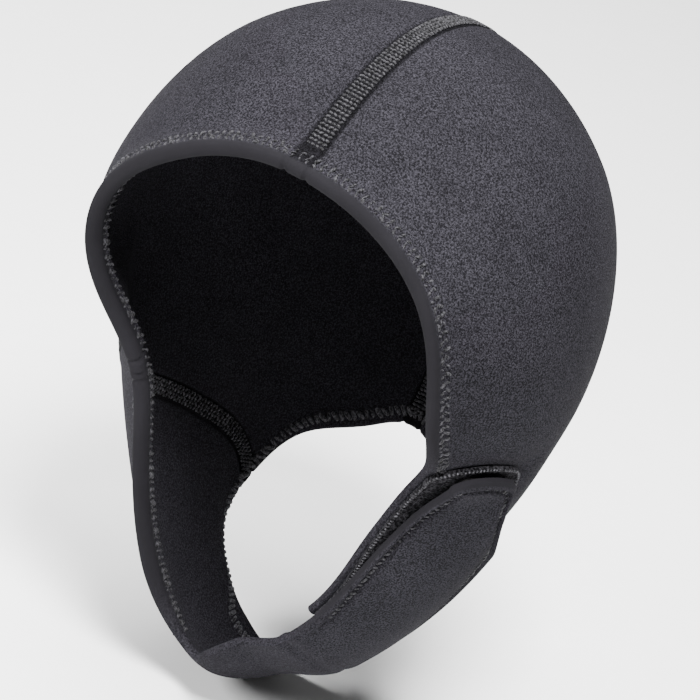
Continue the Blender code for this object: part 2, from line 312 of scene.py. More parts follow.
def seamed_rows(count, both_ends):
    """Shares of the way down for each row, close together beside a seam."""
    near = np.linspace(0, SEAM_SHARE, SEAM_ROWS)
    far = 1 - near[::-1] if both_ends else np.ones(1)
    return np.concatenate([near[:-1], np.linspace(SEAM_SHARE, far[0], count)[:-1], far])[:, None]


def local_rate(side, t, s, down):
    """Metres of cloth for each unit of t, or of s, at a place."""
    step = (NEAR, 0) if down else (0, NEAR)
    ahead = panel_point(side, np.minimum(t + step[0], 1), s + step[1])
    return np.linalg.norm(ahead - panel_point(side, t - step[0], s - step[1]), axis=-1) / (2 * NEAR)


def crown_columns(side, t, least, most):
    """Shares of the way back for each column, from inside the rolled face edge to inside the neck edge."""
    width = panel_width(side, t)[..., None]
    edge = least[..., None] + hem_thickness(side, t, 0)[..., None] / 2 / width
    hem = edge + np.linspace(0, FLARE_WIDTH, HEM_COLUMNS) / width
    rest = np.linspace(0, 1, CROWN_COLUMNS - HEM_COLUMNS + 1)[1:]
    end = most[..., None] - WALL / 2 / width
    return np.concatenate([hem, hem[..., -1:] + (end - hem[..., -1:]) * rest], -1)


def sheet_mesh(name, outer, out, thickness, finish, marks, front_bulge=1.0, back_bulge=1.0):
    """A closed sheet from its outer face: rows of points, the way out at each and the thickness there.

    A bulge of 1 makes a round edge, and a smaller one a squarer, cut edge. The marks are shares that
    the material reads: bare where the cloth is drawn smooth, and painted shade that darkens the grooves beside
    seams and stitches.
    """
    inner = outer - out * thickness[..., None]
    turn = np.linspace(0, math.pi, EDGE_STEPS + 2)[1:-1]

    def edge(column, beside, bulge):
        middle = (outer[:, column] + inner[:, column]) / 2
        away = outer[:, column] - outer[:, beside]
        away -= out[:, column] * (away * out[:, column]).sum(-1, keepdims=True)
        away /= np.linalg.norm(away, axis=-1, keepdims=True)
        half = thickness[:, column, None] / 2
        power = 1 - CUT_SQUARENESS * (1 - bulge)
        rise = np.sign(np.cos(turn)) * np.abs(np.cos(turn)) ** power
        return np.stack([middle + half * (out[:, column] * up + away * bulge * side)
                         for up, side in zip(rise, np.sin(turn))], 1)

    back_round = edge(-1, -2, back_bulge)
    front_round = edge(0, 1, front_bulge)[:, ::-1]
    rings = np.concatenate([outer, back_round, inner[:, ::-1], front_round], 1)
    rows, around = rings.shape[:2]
    columns = outer.shape[1]
    steps = np.linalg.norm(np.roll(rings, -1, axis=1) - rings, axis=-1)
    begin = np.concatenate([np.zeros((rows, 1)), np.cumsum(steps, 1)[:, :-1]], 1)
    middle_steps = np.linalg.norm(np.diff(outer[:, columns // 2], axis=0), axis=-1)
    along = np.concatenate([[0], np.cumsum(middle_steps)])
    index = np.arange(rows * around).reshape(rows, around)
    a, b = index[:-1], index[1:]
    quads = np.stack([a, np.roll(a, -1, 1), np.roll(b, -1, 1), b], -1).reshape(-1, 4)
    first = np.repeat(along[:-1, None], around, 1)
    last = np.repeat(along[1:, None], around, 1)
    end = begin + steps
    uv = np.stack([np.stack([begin[:-1], first], -1), np.stack([end[:-1], first], -1),
                   np.stack([end[1:], last], -1), np.stack([begin[1:], last], -1)], 2).reshape(-1, 2)
    faces = quads.tolist()
    inner_first = columns + EDGE_STEPS
    inner_last = inner_first + columns - 1
    for row, order in ((0, -1), (rows - 1, 1)):
        ring = index[row].tolist()
        for j in range(columns - 1):
            end_face = [ring[j], ring[j + 1], ring[inner_last - j - 1], ring[inner_last - j]]
            faces.append(end_face[::order])
        faces.append(ring[columns - 1:inner_first + 1][::order])
        faces.append((ring[inner_last:] + ring[:1])[::order])
    mesh = bpy.data.meshes.new(name)
    mesh.from_pydata(rings.reshape(-1, 3).tolist(), [], faces)
    layer = mesh.uv_layers.new(name="cloth")
    values = np.zeros((len(mesh.loops), 2), np.float32)
    values[: len(uv)] = uv
    layer.data.foreach_set("uv", values.ravel())
    for label, share in marks.items():
        ring = np.concatenate([share, np.repeat(share[:, -1:], EDGE_STEPS, 1), share[:, ::-1],
                               np.repeat(share[:, :1], EDGE_STEPS, 1)], 1)
        mark = mesh.attributes.new(label, "FLOAT", "POINT")
        mark.data.foreach_set("value", ring.astype(np.float32).ravel())
    work = bmesh.new()
    work.from_mesh(mesh)
    bmesh.ops.recalc_face_normals(work, faces=work.faces)
    work.to_mesh(mesh)
    work.free()
    mesh.shade_smooth()
    for face in mesh.polygons[len(quads):]:
        face.use_smooth = False
    last_row = (rows - 1) * around
    for line in mesh.edges:
        if max(line.vertices) < around or min(line.vertices) >= last_row:
            line.use_edge_sharp = True
    mesh.materials.append(finish)
    piece = bpy.data.objects.new(name, mesh)
    bpy.context.scene.collection.objects.link(piece)
    return piece


class Nodes:
    """Adds nodes to a tree and sets or links their inputs, by name or, as n0 and n1, by number.

    A colour mix takes its share at n0 and its two colours at n6 and n7.
    """

    def __init__(self, tree):
        self.tree = tree

    def add(self, kind, settings=None, **inputs):
        node = self.tree.nodes.new(kind)
        for key, value in (settings or {}).items():
            setattr(node, key, value)
        for key, value in inputs.items():
            numbered = key[0] == "n" and key[1:].isdigit()
            socket = node.inputs[int(key[1:]) if numbered else key.replace("_", " ")]
            if isinstance(value, bpy.types.NodeSocket):
                self.tree.links.new(value, socket)
            else:
                socket.default_value = value
        return node


def cloth_material(name, dark, light, plain, grain_scale, bump_height, sheen, rough):
    """Cloth or pile with flecks of lighter fibre and a fine bump, smooth where it is bare, and darkened by
    painted shade in the grooves beside seams and stitches.
    """
    made = bpy.data.materials.new(name)
    made.use_nodes = True
    tree = made.node_tree
    shader = tree.nodes["Principled BSDF"]
    nodes = Nodes(tree)
    place = nodes.add("ShaderNodeTexCoord")
    bare = nodes.add("ShaderNodeAttribute", {"attribute_name": "bare"})
    painted_shade = nodes.add("ShaderNodeAttribute", {"attribute_name": "painted_shade"})
    grain = nodes.add("ShaderNodeTexNoise", Vector=place.outputs["Object"], Scale=grain_scale,
                      Detail=1.5, Roughness=0.7)
    tuft = nodes.add("ShaderNodeTexVoronoi", Vector=place.outputs["Object"], Scale=grain_scale * 1.2,
                     Randomness=1.0)
    patch = nodes.add("ShaderNodeTexNoise", Vector=place.outputs["Object"], Scale=38.0,
                      Detail=5.0, Roughness=0.65)
    flecks = nodes.add("ShaderNodeMapRange", Value=grain.outputs["Fac"], From_Min=0.40, From_Max=0.68)
    shade = nodes.add("ShaderNodeMapRange", Value=patch.outputs["Fac"], From_Min=0.3, From_Max=0.7, To_Min=0.5)
    mixed = {"data_type": "RGBA"}
    darkened = {"data_type": "RGBA", "blend_type": "MULTIPLY"}
    base = nodes.add("ShaderNodeMix", mixed, n0=flecks.outputs["Result"], n6=(*dark, 1), n7=(*light, 1))
    drawn = nodes.add("ShaderNodeMix", mixed, n0=bare.outputs["Fac"], n6=base.outputs[2],
                      n7=(*plain, 1))
    worn = nodes.add("ShaderNodeMix", darkened, n0=0.5, n6=drawn.outputs[2], n7=shade.outputs["Result"])
    # Painted shade: darkens the colour to 0.3 of itself in the grooves beside seams and stitches, as far as
    # the mesh's share says.
    shaded = nodes.add("ShaderNodeMix", darkened, n0=painted_shade.outputs["Fac"], n6=worn.outputs[2],
                       n7=(0.30, 0.30, 0.30, 1))
    tree.links.new(shaded.outputs[2], shader.inputs["Base Color"])
    height = nodes.add("ShaderNodeMath", {"operation": "ADD"}, n0=grain.outputs["Fac"],
                       n1=tuft.outputs["Distance"])
    calm = nodes.add("ShaderNodeMath", {"operation": "MULTIPLY_ADD"}, n0=bare.outputs["Fac"],
                     n1=-0.75, n2=1.0)
    relief = nodes.add("ShaderNodeMath", {"operation": "MULTIPLY"}, n0=height.outputs["Value"],
                       n1=calm.outputs["Value"])
    bump = nodes.add("ShaderNodeBump", Height=relief.outputs["Value"], Strength=0.8, Distance=bump_height)
    tree.links.new(bump.outputs["Normal"], shader.inputs["Normal"])
    shader.inputs["Roughness"].default_value = rough
    shader.inputs["Specular IOR Level"].default_value = 0.03
    shader.inputs["Sheen Weight"].default_value = sheen
    shader.inputs["Sheen Roughness"].default_value = 0.5
    shader.inputs["Sheen Tint"].default_value = (0.80, 0.78, 0.88, 1)
    return made


jersey = cloth_material("neoprene_jersey", dark=(0.0048, 0.0045, 0.0055), light=(0.0270, 0.0256, 0.0312),
                        plain=(0.0090, 0.0086, 0.0100), grain_scale=1900.0, bump_height=0.00018,
                        sheen=0.004, rough=0.9)


def crown_half(name, side, end_place, band):
    """One half of the crown. end_place gives t at the lower end for each s, band its s at both edges."""
    rows = seamed_rows(CROWN_ROWS, side == RIGHT)
    length = panel_length()
    start = SEAM_GAP / 2 / length
    t_middle = start + rows[:, 0] * (end_place(np.array(0.0)) - start)
    s = crown_columns(side, t_middle, *band(t_middle))
    t = start + rows * (end_place(s) - start)
    from_face = s * panel_width(side, t)
    rate = local_rate(side, t, s, True)
    dip = seam_dip((t - start) * rate)
    if side == RIGHT:
        dip = np.maximum(dip, seam_dip((end_place(s) - t) * rate))
    outer, out = lifted(side, t, s, hem_lift(side, t, from_face) - dip)
    outer[0, :, 0] = side * SEAM_GAP / 2
    bare = hem_kept(side, t) * (1 - ramp(from_face, *BARE_BAND))
    # Painted shade in a band beside the flatlock seams, where their grooves lie, kept off the bare hem.
    painted_shade = 1 - ramp((t - start) * rate, *SEAM_SHADE)
    if side == RIGHT:
        painted_shade = np.maximum(painted_shade, 1 - ramp((end_place(s) - t) * rate, *SEAM_SHADE))
    return sheet_mesh(name, outer, out, hem_thickness(side, t, from_face) - 2 * dip, jersey,
                      {"bare": bare, "painted_shade": painted_shade * (1 - bare)})


def flap_band(t):
    """Front and back of the left panel, as shares of the way back. The flap narrows to its end."""
    front = FLAP_CORNER * ramp(t, FLAP_CORNER_START, FLAP_END)
    back = 1 - (1 - FLAP_END_SHARE) * ramp(t, FLAP_TAPER_START, FLAP_END)
    return front, back


left_half = crown_half("crown_left_cloth", LEFT, lambda s: FLAP_END + 0 * s, flap_band)
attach(left_half, "root")
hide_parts("crown_left")


# Right half of the crown, the same sheet as the left, down to the seam at the jaw.
# It is sewn edge to edge to the left half over the crown, and to the chin strap's panel at the jaw.
JAW_SEAM = (
    (0.0, 0.646),
    (0.35, 0.653),
    (0.65, 0.655),
    (1.0, 0.54),
)


def seam_place(s):
    """Place of the jaw seam down the right panel: t at each s."""
    shares, places = zip(*JAW_SEAM)
    return spline(shares, places, s)[..., 0]


right_half = crown_half("crown_right_cloth", RIGHT, lambda s: seam_place(s) - SEAM_GAP / 2 / panel_length(),
                        lambda t: (0 * t, 1 + 0 * t))
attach(right_half, "root")
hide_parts("crown_right")


# Chin strap: one piece of the same sheet from the jaw seam on the right, under the chin, to the tab.
# The tab has a rounded end, a cut edge and a row of stitches that holds the hook tape inside it.
TAB_WIDTH = 0.0465
TAB_END_ROUND = 0.012
LOOP_PAD = 0.0013
LOOP_PAD_FRONT = 0.0015
LOOP_PAD_MARGIN = 0.004
HOOK_PAD = 0.0009
HOOK_PAD_INSET = 0.005
PAD_CLEARANCE = 0.0004
LOOP_LIFT = PAD_CLEARANCE
HOOK_LIFT = LOOP_LIFT + LOOP_PAD + PAD_CLEARANCE
TAB_LIFT = HOOK_LIFT + HOOK_PAD + PAD_CLEARANCE + WALL
LIFT_START = 0.92
LIFT_FULL = 0.84
TAB_TIP = 0.512
TAB_SLANT = 0.097
TAB_WIDENS = 0.80
LOOP_PAD_LOW = 0.81
HOOK_PAD_LOW = 0.79
TAB_FRONT = (
    (0.5, 0.074),
    (0.59, 0.046),
    (0.66, 0.032),
    (0.72, 0.014),
    (0.79, 0.0),
    (1.0, 0.0),
)
STRAP_ROWS_RIGHT = 80
STRAP_ROWS_LEFT = 130
STRAP_COLUMNS = 72
COLUMN_CHANGE = 0.3
STITCH_FROM_EDGE = 0.0048
STITCH_GROOVE = 0.0009
STITCH_GROOVE_WIDTH = 0.0024
STITCH_SHADE = 0.75
TAB_PRESSED = 0.0014
PRESSED_WIDTH = STITCH_FROM_EDGE - 0.001
TAB_BARE_BAND = (0.0014, 0.0022)
SEWN_FADE = 0.08
CUT_EDGE_INSET = 0.4 * WALL
CREASE = 0.0007
CREASE_PLACE = 0.847
CREASE_WIDTH = 0.0028
TAB_RIM = 0.0005


def tab_band(t):
    """Front and back of the strap on the left, as shares of the way back at each t."""
    places, shares = zip(*TAB_FRONT)
    front = np.clip(spline(places, shares, t)[..., 0], 0, 1)
    narrow = front + TAB_WIDTH / panel_width(LEFT, t)
    back = narrow + (1 - narrow) * ramp(t, TAB_WIDENS, 1)
    return front, back


def tab_end(tip, rounding, turn):
    """Place of the tab's rounded end down the panel. It runs aslant, lower at the back."""
    return tip + rounding / panel_length() * (1 - np.sin(turn)) + TAB_SLANT * (0.5 - 0.5 * np.cos(turn))


def strap_sheet():
    """Outer face, way out and thickness of the strap, and where it is drawn smooth."""
    length = panel_length()
    hem = np.linspace(0, FLARE_WIDTH, HEM_COLUMNS)
    rest = np.linspace(0, 1, STRAP_COLUMNS - HEM_COLUMNS + 1)[1:]
    down = seamed_rows(STRAP_ROWS_RIGHT, False)[:-1]

    def right_columns(t):
        width = panel_width(RIGHT, t)[..., None]
        edge = hem_thickness(RIGHT, t, 0)[..., None] / 2 / width
        near = edge + hem / width
        return np.concatenate([near, near[..., -1:] + (1 - WALL / 2 / width - near[..., -1:]) * rest], -1)

    v = right_columns(JAW_SEAM[0][1] + down[:, 0] * (1 - JAW_SEAM[0][1]))
    first = seam_place(v) + SEAM_GAP / 2 / length
    t = first + down * (1 - first)
    from_face = v * panel_width(RIGHT, t)
    right_t, right_rate = t, local_rate(RIGHT, t, v, True)
    dip = seam_dip((t - first) * right_rate)
    right, right_out = lifted(RIGHT, t, v, hem_lift(RIGHT, t, from_face) - dip)
    right_wall = hem_thickness(RIGHT, t, from_face) - 2 * dip
    right_bare = hem_kept(RIGHT, t) * (1 - ramp(from_face, *BARE_BAND))
    up = np.linspace(0, 1, STRAP_ROWS_LEFT)[:, None]
    turn = np.linspace(0, math.pi, STRAP_COLUMNS)
    t = 1 - up * (1 - tab_end(TAB_TIP, TAB_END_ROUND, turn))
    front, back = tab_band(t)
    chin_v = right_columns(np.ones(1))
    v = chin_v + (0.5 - 0.5 * np.cos(turn) - chin_v) * ramp(up, 0, COLUMN_CHANGE)
    width = panel_width(LEFT, t)
    turn_in = CUT_EDGE_INSET * ramp(up, 0, COLUMN_CHANGE) / width
    s = front + turn_in + (back - front - 2 * turn_in) * v
    raise_by = TAB_LIFT * ramp(t, LIFT_START, LIFT_FULL)
    to_side = np.minimum((s - front) * width, (back - s) * width)
    to_end = (t - tab_end(TAB_TIP, TAB_END_ROUND, turn)) * length
    to_edge = np.minimum(to_side, to_end)
    sewn = 1 - ramp(t, LIFT_FULL - SEWN_FADE, LIFT_FULL)
    groove = np.clip(1 - np.abs(to_edge - STITCH_FROM_EDGE) / STITCH_GROOVE_WIDTH, 0, 1) * sewn
    rim = TAB_RIM * sewn * np.sin(math.pi * np.clip(to_edge / PRESSED_WIDTH, 0, 1))
    crease = CREASE * hump((t - CREASE_PLACE) * length, CREASE_WIDTH)
    pressed_in = STITCH_GROOVE * groove**2 * (3 - 2 * groove) + crease
    pressed = TAB_PRESSED * sewn * (1 - ramp(to_edge, 0, PRESSED_WIDTH))
    left, left_out = lifted(LEFT, t, s, raise_by + rim - pressed_in - pressed)
    left_wall = WALL - pressed
    left_bare = sewn * (1 - ramp(to_edge, *TAB_BARE_BAND))
    # Painted shade beside the jaw seam and in the tab's stitch groove, kept off the bare edges.
    right_painted_shade = 1 - ramp((right_t - first) * right_rate, *SEAM_SHADE)
    painted_shade = np.concatenate([right_painted_shade, STITCH_SHADE * groove])
    outer, out = np.concatenate([right, left]), np.concatenate([right_out, left_out])
    bare = np.concatenate([right_bare, left_bare])
    marks = {"bare": bare, "painted_shade": painted_shade * (1 - bare)}
    return outer, out, np.concatenate([right_wall, left_wall]), marks


strap_outer, strap_out, strap_wall, strap_marks = strap_sheet()
strap = sheet_mesh("chin_strap_cloth", strap_outer, strap_out, strap_wall, jersey, strap_marks,
                   front_bulge=0.8, back_bulge=0.7)
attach(strap, "root")
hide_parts("chin_strap")


# Loop pad: brushed black loop pile on a woven ground, sewn on the flap with an overlocked edge.
# It shows in front of the tab and past its end.
PAD_ROWS = 120
PAD_COLUMNS = 70


def pad_sheet(name, low, margin, lift, thickness, finish):
    """A pad that stands out past the tab's outline by a margin, or lies inside it by a margin below 0."""
    turn = np.linspace(0, math.pi, PAD_COLUMNS)
    tip = tab_end(TAB_TIP - margin / panel_length(), TAB_END_ROUND + margin, turn)
    t = low - np.linspace(0, 1, PAD_ROWS)[:, None] * (low - tip)
    front, back = tab_band(t)
    width = panel_width(LEFT, t)
    front = (flap_band(t)[0] + LOOP_PAD_FRONT / width) if margin > 0 else (front - margin / width)
    back = back + margin / width
    outer, out = lifted(LEFT, t, front + (back - front) * (0.5 - 0.5 * np.cos(turn)), lift + thickness)
    return sheet_mesh(name, outer, out, np.full(t.shape, thickness), finish, {},
                      front_bulge=0.6, back_bulge=0.6)


pile = cloth_material("loop_pile", dark=(0.0008, 0.0008, 0.0010), light=(0.0260, 0.0250, 0.0280),
                      plain=(0.010, 0.010, 0.011), grain_scale=1000.0, bump_height=0.0007,
                      sheen=0.02, rough=0.95)
loop_pad = pad_sheet("loop_pad_cloth", LOOP_PAD_LOW, LOOP_PAD_MARGIN, LOOP_LIFT, LOOP_PAD, pile)
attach(loop_pad, "root")
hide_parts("loop_pad")


# Hook tape inside the tab: moulded black hooks on a woven tape, sewn on by the tab's row of stitches.
# It lies between the tab and the loop pad, where it is hidden, so it is a plain sheet.
hooks = cloth_material("hook_tape", dark=(0.004, 0.004, 0.004), light=(0.012, 0.012, 0.012),
                       plain=(0.008, 0.008, 0.008), grain_scale=900.0, bump_height=0.0003,
                       sheen=0.0, rough=0.6)
hook_tape = pad_sheet("hook_tape", HOOK_PAD_LOW, -HOOK_PAD_INSET, HOOK_LIFT, HOOK_PAD, hooks)
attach(hook_tape, "root")
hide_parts("hook_pad")


# Stitches in black polyester thread that sew the turned hem of the face edge down, on both faces.
# Two rows of short loops lie 2.4 mm apart with a zigzag between them. A row of the table gives
# the name, offset across, length, thread radius, zigzag angle and lean.
HEM_STITCHES = (
    ("near", -0.0012, 0.0013, 0.00042, 0.4, 0.5),
    ("zigzag", 0.0, 0.0024, 0.00022, 0.6, 0.0),
    ("far", 0.0012, 0.0013, 0.00042, 0.4, -0.5),
)
HEM_PITCH = 0.0025
INNER_FROM_EDGE = 0.0050
ACROSS = 0.0016
FACE_ROW_LEFT_END = 0.545
FACE_ROW_RIGHT_END = 0.93
PATH_POINTS = 160


def stitch_tree():
    """Geometry nodes that lay arched stitches across a path whose points carry the way out."""
    tree = bpy.data.node_groups.new("stitch_row", "GeometryNodeTree")
    sockets = {}
    interface = tree.interface
    interface.new_socket("Geometry", in_out="OUTPUT", socket_type="NodeSocketGeometry")
    interface.new_socket("Geometry", in_out="INPUT", socket_type="NodeSocketGeometry")
    for label in ("Pitch", "Length", "Thread", "Arch", "Angle", "Lean", "Shake", "Seed", "Finish"):
        kind = {"Seed": "Int", "Finish": "Material"}.get(label, "Float")
        item = interface.new_socket(label, in_out="INPUT", socket_type="NodeSocket" + kind)
        sockets[label] = item.identifier
    nodes = Nodes(tree)
    given = nodes.add("NodeGroupInput").outputs
    path = nodes.add("GeometryNodeMeshToCurve", Mesh=given["Geometry"])
    even = nodes.add("GeometryNodeResampleCurve", {"mode": "LENGTH"}, Curve=path.outputs["Curve"],
                     Length=given["Pitch"])
    tangent = nodes.add("GeometryNodeInputTangent")
    out = nodes.add("GeometryNodeInputNamedAttribute", {"data_type": "FLOAT_VECTOR"}, Name="way_out")
    along = nodes.add("FunctionNodeAlignRotationToVector", {"axis": "X"},
                      Vector=tangent.outputs["Tangent"])
    upright = nodes.add("FunctionNodeAlignRotationToVector", {"axis": "Z", "pivot_axis": "X"},
                        Rotation=along.outputs["Rotation"], Vector=out.outputs["Attribute"])
    index = nodes.add("GeometryNodeInputIndex")
    odd = nodes.add("ShaderNodeMath", {"operation": "MODULO"}, n0=index.outputs["Index"], n1=2.0)
    sign = nodes.add("ShaderNodeMath", {"operation": "MULTIPLY_ADD"}, n0=odd.outputs["Value"],
                     n1=2.0, n2=-1.0)
    swing = nodes.add("ShaderNodeMath", {"operation": "MULTIPLY_ADD"}, n0=sign.outputs["Value"],
                      n1=given["Angle"], n2=given["Lean"])
    other_way = nodes.add("ShaderNodeMath", {"operation": "MULTIPLY"}, n0=given["Shake"], n1=-1.0)
    shake = nodes.add("FunctionNodeRandomValue", {"data_type": "FLOAT"}, n2=other_way.outputs["Value"],
                      n3=given["Shake"], Seed=given["Seed"])
    angle = nodes.add("ShaderNodeMath", {"operation": "ADD"}, n0=swing.outputs["Value"],
                      n1=shake.outputs[1])
    spin = nodes.add("FunctionNodeAxisAngleToRotation", Axis=(0, 0, 1), Angle=angle.outputs["Value"])
    aim = nodes.add("FunctionNodeRotateRotation", {"rotation_space": "LOCAL"},
                    Rotation=upright.outputs["Rotation"], Rotate_By=spin.outputs["Rotation"])
    half = nodes.add("ShaderNodeMath", {"operation": "MULTIPLY"}, n0=given["Length"], n1=0.5)
    back = nodes.add("ShaderNodeMath", {"operation": "MULTIPLY"}, n0=given["Length"], n1=-0.5)
    under = nodes.add("ShaderNodeMath", {"operation": "MULTIPLY"}, n0=given["Arch"], n1=-1.0)
    over = nodes.add("ShaderNodeMath", {"operation": "MULTIPLY"}, n0=given["Arch"], n1=2.0)
    start = nodes.add("ShaderNodeCombineXYZ", Y=back.outputs["Value"], Z=under.outputs["Value"])
    middle = nodes.add("ShaderNodeCombineXYZ", Z=over.outputs["Value"])
    end = nodes.add("ShaderNodeCombineXYZ", Y=half.outputs["Value"], Z=under.outputs["Value"])
    arch = nodes.add("GeometryNodeCurveQuadraticBezier", Resolution=6, Start=start.outputs["Vector"],
                     Middle=middle.outputs["Vector"], End=end.outputs["Vector"])
    ring = nodes.add("GeometryNodeCurvePrimitiveCircle", Resolution=6, Radius=given["Thread"])
    stitch = nodes.add("GeometryNodeCurveToMesh", Curve=arch.outputs["Curve"],
                       Profile_Curve=ring.outputs["Curve"], Fill_Caps=True)
    least = nodes.add("ShaderNodeMath", {"operation": "MULTIPLY_ADD"}, n0=given["Shake"], n1=-0.6, n2=1.0)
    most = nodes.add("ShaderNodeMath", {"operation": "MULTIPLY_ADD"}, n0=given["Shake"], n1=0.6, n2=1.0)
    size = nodes.add("FunctionNodeRandomValue", {"data_type": "FLOAT"}, n2=least.outputs["Value"],
                     n3=most.outputs["Value"], Seed=given["Seed"])
    placed = nodes.add("GeometryNodeInstanceOnPoints", Points=even.outputs["Curve"],
                       Instance=stitch.outputs["Mesh"], Rotation=aim.outputs["Rotation"],
                       Scale=size.outputs[1])
    real = nodes.add("GeometryNodeRealizeInstances", Geometry=placed.outputs["Instances"])
    smooth = nodes.add("GeometryNodeSetShadeSmooth", Geometry=real.outputs["Geometry"])
    painted = nodes.add("GeometryNodeSetMaterial", Geometry=smooth.outputs["Geometry"],
                        Material=given["Finish"])
    result = nodes.add("NodeGroupOutput")
    tree.links.new(painted.outputs["Geometry"], result.inputs["Geometry"])
    return tree, sockets


stitch_group, stitch_socket = stitch_tree()


def stitch_row(name, points, out, finish, slot, **values):
    """A row of stitches along a path of points, attached to the root body; the slot argument is not used."""
    mesh = bpy.data.meshes.new(name + "_path")
    mesh.from_pydata(points.tolist(), [(i, i + 1) for i in range(len(points) - 1)], [])
    layer = mesh.attributes.new("way_out", "FLOAT_VECTOR", "POINT")
    layer.data.foreach_set("vector", np.ascontiguousarray(out, np.float32).ravel())
    piece = bpy.data.objects.new(name, mesh)
    rule = piece.modifiers.new("stitches", "NODES")
    rule.node_group = stitch_group
    for label, value in values.items():
        rule[stitch_socket[label]] = value
    rule[stitch_socket["Finish"]] = finish
    bpy.context.scene.collection.objects.link(piece)
    graph = bpy.context.evaluated_depsgraph_get()
    plain = bpy.data.meshes.new_from_object(piece.evaluated_get(graph))
    piece.modifiers.clear()
    piece.data = plain
    plain.name = name
    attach(piece, "root")


def thread_material(name, colour):
    """Twisted polyester thread, darker and lighter than its colour along the fibres."""
    made = bpy.data.materials.new(name)
    made.use_nodes = True
    tree = made.node_tree
    shader = tree.nodes["Principled BSDF"]
    nodes = Nodes(tree)
    place = nodes.add("ShaderNodeTexCoord")
    fibre = nodes.add("ShaderNodeTexNoise", Vector=place.outputs["Object"], Scale=1500.0,
                      Detail=2.0, Roughness=0.6)
    speck = nodes.add("ShaderNodeMapRange", Value=fibre.outputs["Fac"], From_Min=0.40, From_Max=0.66)
    mix = nodes.add("ShaderNodeMix", {"data_type": "RGBA"}, n0=speck.outputs["Result"],
                    n6=(*(0.2 * c for c in colour), 1), n7=(*(2.4 * c for c in colour), 1))
    tree.links.new(mix.outputs[2], shader.inputs["Base Color"])
    bump = nodes.add("ShaderNodeBump", Height=fibre.outputs["Fac"], Strength=0.6, Distance=0.0001)
    tree.links.new(bump.outputs["Normal"], shader.inputs["Normal"])
    shader.inputs["Roughness"].default_value = 0.7
    shader.inputs["Sheen Weight"].default_value = 0.04
    shader.inputs["Specular IOR Level"].default_value = 0.12
    return made


thread = thread_material("thread", (0.0140, 0.0136, 0.0154))


def hem_face(side, t, from_edge, inside):
    """Point on the outer or inner face of the hem at a distance from the face edge."""
    lift = hem_lift(side, t, from_edge + 0 * t)
    if inside:
        lift = lift - hem_thickness(side, t, from_edge + 0 * t)
    return lifted(side, t, from_edge / panel_width(side, t), lift)[0]


def edge_path(from_edge, inside):
    """Path along the face edge from the right cheek over the brow to the left, and the way out there."""
    parts = []
    for side, stop in ((RIGHT, FACE_ROW_RIGHT_END), (LEFT, FACE_ROW_LEFT_END)):
        t = np.linspace(0, stop, PATH_POINTS)
        s = from_edge / panel_width(side, t)
        near, point, far = (hem_face(side, t, from_edge + step, inside) for step in (-ACROSS, 0, ACROSS))
        out = lifted(side, t, s, 0)[1] * (-1 if inside else 1)
        across = (far - near) / np.linalg.norm(far - near, axis=-1, keepdims=True)
        out = out - across * (out * across).sum(-1, keepdims=True)
        parts.append((point, out / np.linalg.norm(out, axis=-1, keepdims=True)))
    points = np.concatenate([parts[0][0][:0:-1], parts[1][0]])
    return points, np.concatenate([parts[0][1][:0:-1], parts[1][1]])


for face, from_edge, inside in (("outer", ZIGZAG_FROM_EDGE, False), ("inner", INNER_FROM_EDGE, True)):
    for name, offset, length, radius, angle, lean in HEM_STITCHES:
        points, out = edge_path(from_edge + offset, inside)
        stitch_row(f"face_{name}_{face}", points, out, thread, "neoprene_left", Pitch=HEM_PITCH,
                   Length=length, Thread=radius, Arch=0.0003, Angle=angle, Lean=lean, Shake=0.6, Seed=3)


# Overlock on the neck edge: close loops of dark grey polyester thread sewn over the cut edge.
# They make a rib on its inner side, from the chin over the nape to the left flap.
OVERLOCK_PITCH = 0.0021
OVERLOCK_LENGTH = 0.0030
OVERLOCK_FROM_EDGE = 0.0052
OVERLOCK_THREAD = 0.0008
OVERLOCK_SUNK = 0.0003
OVERLOCK_LEFT_END = 0.80
BESIDE_EDGE = 0.01


def neck_path(from_edge):
    """Path inside the neck edge from the chin over the nape to the left flap, and the way in there."""
    parts = []
    for side, stop in ((RIGHT, 1.0), (LEFT, OVERLOCK_LEFT_END)):
        t = np.linspace(0, stop, PATH_POINTS)
        most = flap_band(t)[1] if side == LEFT else 1 + 0 * t
        s = most - from_edge / local_rate(side, t, most - BESIDE_EDGE, False)
        point, out = lifted(side, t, s, OVERLOCK_SUNK - WALL)
        parts.append((point, -out))
    points = np.concatenate([parts[0][0][:0:-1], parts[1][0]])
    return points, np.concatenate([parts[0][1][:0:-1], parts[1][1]])


overlock = thread_material("overlock_thread", (0.0300, 0.0292, 0.0326))
points, out = neck_path(OVERLOCK_FROM_EDGE)
stitch_row("neck_overlock", points, out, overlock, "neoprene_right", Pitch=OVERLOCK_PITCH,
           Length=OVERLOCK_LENGTH, Thread=OVERLOCK_THREAD, Arch=0.0002, Angle=0.15, Lean=0.3, Shake=0.25,
           Seed=5)


# Flatlock seams over the crown and at the jaw: the sheets meet edge to edge, sewn with black thread.
# Four columns of short stitches lie over the join on each face, the inner ones in overlock thread.
FLATLOCK_COLUMNS = (-0.00225, -0.00075, 0.00075, 0.00225)
FLATLOCK_PITCH = 0.0014
FLATLOCK_LENGTH = 0.0009
FLATLOCK_THREAD = 0.00042
SEAM_ROW_START = ZIGZAG_FROM_EDGE + 0.0025
SEAM_ROW_END = 0.004
seam_thread = thread_material("seam_thread", (0.0150, 0.0146, 0.0162))


def seam_row_shares(width):
    """Shares of the way back along a seam, from past the face edge's stitch row to the neck edge."""
    start = SEAM_ROW_START / width
    return start + np.linspace(0, 1, PATH_POINTS) * (1 - SEAM_ROW_END / width - start)


def crown_seam_path(across, inside):
    """Path beside the centre seam from the brow's stitch row to the neck edge."""
    side = LEFT if across > 0 else RIGHT
    s = seam_row_shares(panel_width(side, np.array(0.0)))
    t = abs(across) / local_rate(side, np.full_like(s, BESIDE_EDGE), s, True)
    point, out = lifted(side, t, s, -WALL if inside else 0.0)
    return point, -out if inside else out


